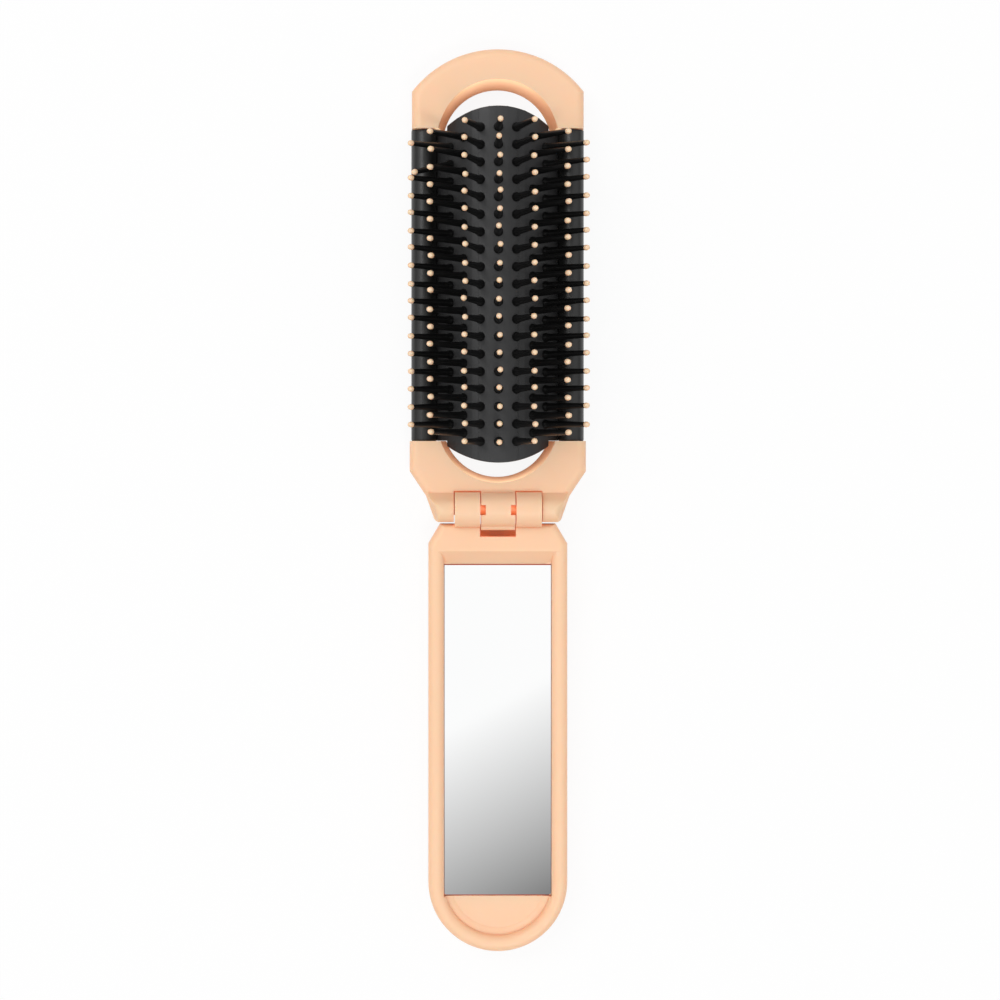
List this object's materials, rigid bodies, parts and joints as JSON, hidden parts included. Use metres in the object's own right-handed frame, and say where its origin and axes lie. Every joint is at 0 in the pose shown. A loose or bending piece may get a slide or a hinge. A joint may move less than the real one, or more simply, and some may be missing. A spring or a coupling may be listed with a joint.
{
  "type": "folding hairbrush",
  "caption": "Folding pocket hairbrush with a pop-up bristle pad held between two side rolls and a hinged handle that carries a recessed mirror.",
  "frame": {"origin": "centre of the footprint of the open brush lying on its back, at the height of its back faces", "axes": "+Y along the brush towards the head's top, +Z out of the front towards the bristles and mirror, +X to the right seen from the front"},
  "size_m": [0.036, 0.181, 0.0235],
  "materials": {
    "case_plastic": "pale peach moulded plastic with a soft gloss",
    "roll_plastic": "black satin plastic",
    "pad_rubber": "dark grey flexible pad, matte",
    "pin_plastic": "black nylon",
    "tip_plastic": "peach ball tips",
    "mirror_silver": "silvered flat mirror",
    "tape_foam": "double-sided foam tape"
  },
  "bodies": {
    "head": {"head_frame": "case_plastic"},
    "handle": {"handle_shell": "case_plastic", "mirror_tape": "tape_foam", "mirror_glass": "mirror_silver", "hinge_pin": "case_plastic"},
    "pad_middle": {"pad_strip_centre": "pad_rubber", "pins_centre": "pin_plastic", "tips_centre": "tip_plastic"},
    "pad_left_1": {"pad_strip_left_1": "pad_rubber", "pins_left_1": "pin_plastic", "tips_left_1": "tip_plastic"},
    "pad_left_2": {"pad_strip_left_2": "pad_rubber", "pins_left_2": "pin_plastic", "tips_left_2": "tip_plastic"},
    "pad_left_3": {"pad_strip_left_3": "pad_rubber", "pins_left_3": "pin_plastic", "tips_left_3": "tip_plastic"},
    "roll_left": {"side_roll_left": "roll_plastic", "pad_web_left": "pad_rubber"},
    "pad_right_1": {"pad_strip_right_1": "pad_rubber", "pins_right_1": "pin_plastic", "tips_right_1": "tip_plastic"},
    "pad_right_2": {"pad_strip_right_2": "pad_rubber", "pins_right_2": "pin_plastic", "tips_right_2": "tip_plastic"},
    "pad_right_3": {"pad_strip_right_3": "pad_rubber", "pins_right_3": "pin_plastic", "tips_right_3": "tip_plastic"},
    "roll_right": {"side_roll_right": "roll_plastic", "pad_web_right": "pad_rubber"}
  },
  "joints": [
    {"name": "handle_fold", "type": "hinge", "parent": "head", "child": "handle", "pos_m": [0, -0.00185, 0.00845], "axis": [-1, 0, 0], "range_deg": [0, 180]},
    {"name": "pad_sink", "type": "slide", "parent": "head", "child": "pad_middle", "axis": [0, 0, -1], "range_m": [0, 0.01504]},
    {"name": "pad_left_flex_1", "type": "hinge", "parent": "pad_middle", "child": "pad_left_1", "pos_m": [-0.00182, 0.04295, 0.012], "axis": [0, 1, 0], "range_deg": [0, 26.71]},
    {"name": "pad_left_flex_2", "type": "hinge", "parent": "pad_left_1", "child": "pad_left_2", "pos_m": [-0.00525, 0.04295, 0.0109], "axis": [0, 1, 0], "range_deg": [0, 30.31]},
    {"name": "pad_left_flex_3", "type": "hinge", "parent": "pad_left_2", "child": "pad_left_3", "pos_m": [-0.0084, 0.04295, 0.00844], "axis": [0, 1, 0], "range_deg": [0, 12.76]},
    {"name": "roll_left_turn", "type": "hinge", "parent": "head", "child": "roll_left", "pos_m": [-0.0148, 0.04295, 0.004], "axis": [0, 1, 0], "range_deg": [0, 80.85], "deforming": ["pad_web_left"]},
    {"name": "pad_right_flex_1", "type": "hinge", "parent": "pad_middle", "child": "pad_right_1", "pos_m": [0.00182, 0.04295, 0.012], "axis": [0, -1, 0], "range_deg": [0, 26.71]},
    {"name": "pad_right_flex_2", "type": "hinge", "parent": "pad_right_1", "child": "pad_right_2", "pos_m": [0.00525, 0.04295, 0.0109], "axis": [0, -1, 0], "range_deg": [0, 30.31]},
    {"name": "pad_right_flex_3", "type": "hinge", "parent": "pad_right_2", "child": "pad_right_3", "pos_m": [0.0084, 0.04295, 0.00844], "axis": [0, -1, 0], "range_deg": [0, 12.76]},
    {"name": "roll_right_turn", "type": "hinge", "parent": "head", "child": "roll_right", "pos_m": [0.0148, 0.04295, 0.004], "axis": [0, -1, 0], "range_deg": [0, 80.85], "deforming": ["pad_web_right"]}
  ],
  "couplings": [
    {"joint": "pad_sink", "follows": "handle_fold", "m_per_rad": 0.0047846},
    {"joint": "pad_left_flex_1", "follows": "handle_fold", "ratio": 0.14833},
    {"joint": "pad_left_flex_2", "follows": "handle_fold", "ratio": 0.16833},
    {"joint": "pad_left_flex_3", "follows": "handle_fold", "ratio": 0.070833},
    {"joint": "roll_left_turn", "follows": "handle_fold", "ratio": 0.4491},
    {"joint": "pad_right_flex_1", "follows": "handle_fold", "ratio": 0.14833},
    {"joint": "pad_right_flex_2", "follows": "handle_fold", "ratio": 0.16833},
    {"joint": "pad_right_flex_3", "follows": "handle_fold", "ratio": 0.070833},
    {"joint": "roll_right_turn", "follows": "handle_fold", "ratio": 0.4491}
  ]
}
